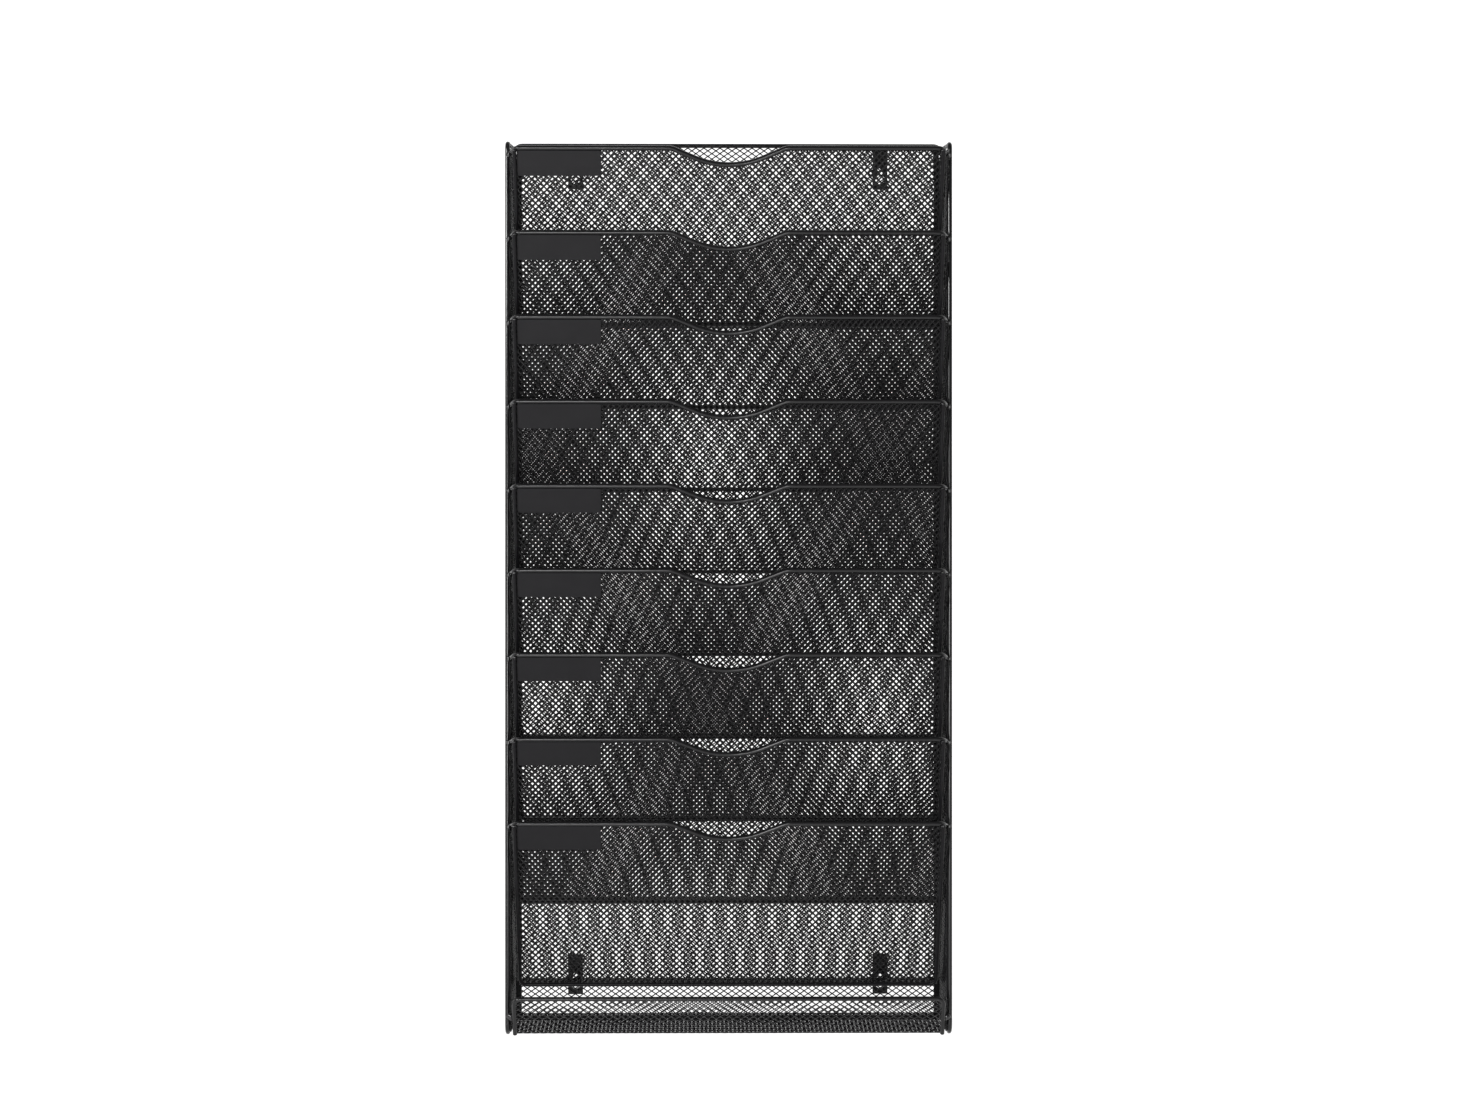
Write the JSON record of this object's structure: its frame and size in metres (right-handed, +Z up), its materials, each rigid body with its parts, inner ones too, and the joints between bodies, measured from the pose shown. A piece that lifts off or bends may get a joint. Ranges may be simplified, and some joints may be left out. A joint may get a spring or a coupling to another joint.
{
  "type": "hanging document pocket",
  "caption": "Wall-hung file organizer of black wire and expanded steel mesh: stacked leaning pockets with finger dips and blank name plates above a shallow tray.",
  "frame": {"origin": "on the wall, midway between the screw seats of the two upper keyholes", "axes": "+X to the viewer's right, +Y into the wall, +Z up; the pockets open towards -Y"},
  "size_m": [0.32, 0.0902, 0.6476],
  "materials": {
    "wire_coat": "satin black powder coat",
    "sheet_coat": "satin black powder coat on expanded sheet",
    "plate_coat": "satin black powder coat on flat sheet",
    "tab_coat": "satin black powder coat"
  },
  "bodies": {
    "root": {"back_frame_wire": "wire_coat", "back_mesh": "sheet_coat", "left_side_wire": "wire_coat", "left_side_mesh": "sheet_coat", "right_side_wire": "wire_coat", "right_side_mesh": "sheet_coat", "rim_wire_1": "wire_coat", "pocket_wire_1": "wire_coat", "pocket_front_1": "sheet_coat", "pocket_floor_1": "sheet_coat", "name_plate_1": "plate_coat", "rim_wire_2": "wire_coat", "pocket_wire_2": "wire_coat", "pocket_front_2": "sheet_coat", "pocket_floor_2": "sheet_coat", "name_plate_2": "plate_coat", "rim_wire_3": "wire_coat", "pocket_wire_3": "wire_coat", "pocket_front_3": "sheet_coat", "pocket_floor_3": "sheet_coat", "name_plate_3": "plate_coat", "rim_wire_4": "wire_coat", "pocket_wire_4": "wire_coat", "pocket_front_4": "sheet_coat", "pocket_floor_4": "sheet_coat", "name_plate_4": "plate_coat", "rim_wire_5": "wire_coat", "pocket_wire_5": "wire_coat", "pocket_front_5": "sheet_coat", "pocket_floor_5": "sheet_coat", "name_plate_5": "plate_coat", "rim_wire_6": "wire_coat", "pocket_wire_6": "wire_coat", "pocket_front_6": "sheet_coat", "pocket_floor_6": "sheet_coat", "name_plate_6": "plate_coat", "rim_wire_7": "wire_coat", "pocket_wire_7": "wire_coat", "pocket_front_7": "sheet_coat", "pocket_floor_7": "sheet_coat", "name_plate_7": "plate_coat", "rim_wire_8": "wire_coat", "pocket_wire_8": "wire_coat", "pocket_front_8": "sheet_coat", "pocket_floor_8": "sheet_coat", "name_plate_8": "plate_coat", "rim_wire_9": "wire_coat", "pocket_wire_9": "wire_coat", "pocket_front_9": "sheet_coat", "pocket_floor_9": "sheet_coat", "name_plate_9": "plate_coat", "tray_frame_wire": "wire_coat", "tray_front_mesh": "sheet_coat", "tray_floor_mesh": "sheet_coat", "upper_left_tab": "tab_coat", "upper_right_tab": "tab_coat", "lower_left_tab": "tab_coat", "lower_right_tab": "tab_coat"}
  },
  "joints": []
}
